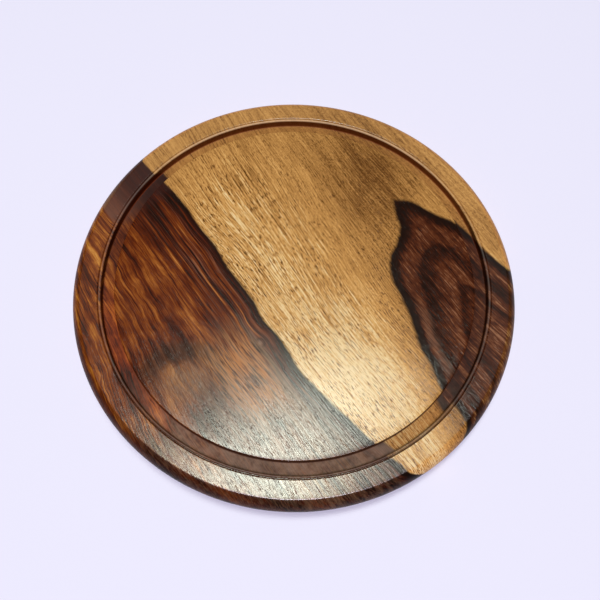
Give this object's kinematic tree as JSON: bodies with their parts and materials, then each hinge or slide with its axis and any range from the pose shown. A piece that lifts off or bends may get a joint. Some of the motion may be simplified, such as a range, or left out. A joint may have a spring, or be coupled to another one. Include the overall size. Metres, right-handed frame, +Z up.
{
  "type": "cake board",
  "caption": "Round turned wooden cake board with a flat rim, a fine bead, a ring groove that takes the rim of a dome, a flat field, a rounded edge and screwed-on rubber feet.",
  "frame": {"origin": "on the board's turning axis, in the plane of the table that the feet stand on", "axes": "+Z up along the turning axis; -Y toward the viewer of the picture and +X to the viewer's right"},
  "size_m": [0.3, 0.3, 0.024],
  "materials": {
    "wood": "two-tone dark heartwood and pale sapwood under a satin lacquer",
    "rubber": "matt moulded rubber",
    "washer_steel": "zinc-plated steel",
    "screw_steel": "yellow zinc-plated steel"
  },
  "bodies": {
    "root": {"board": "wood", "foot_1": "rubber", "foot_washer_1": "washer_steel", "foot_screw_1": "screw_steel", "foot_2": "rubber", "foot_washer_2": "washer_steel", "foot_screw_2": "screw_steel", "foot_3": "rubber", "foot_washer_3": "washer_steel", "foot_screw_3": "screw_steel", "foot_4": "rubber", "foot_washer_4": "washer_steel", "foot_screw_4": "screw_steel"}
  },
  "joints": []
}
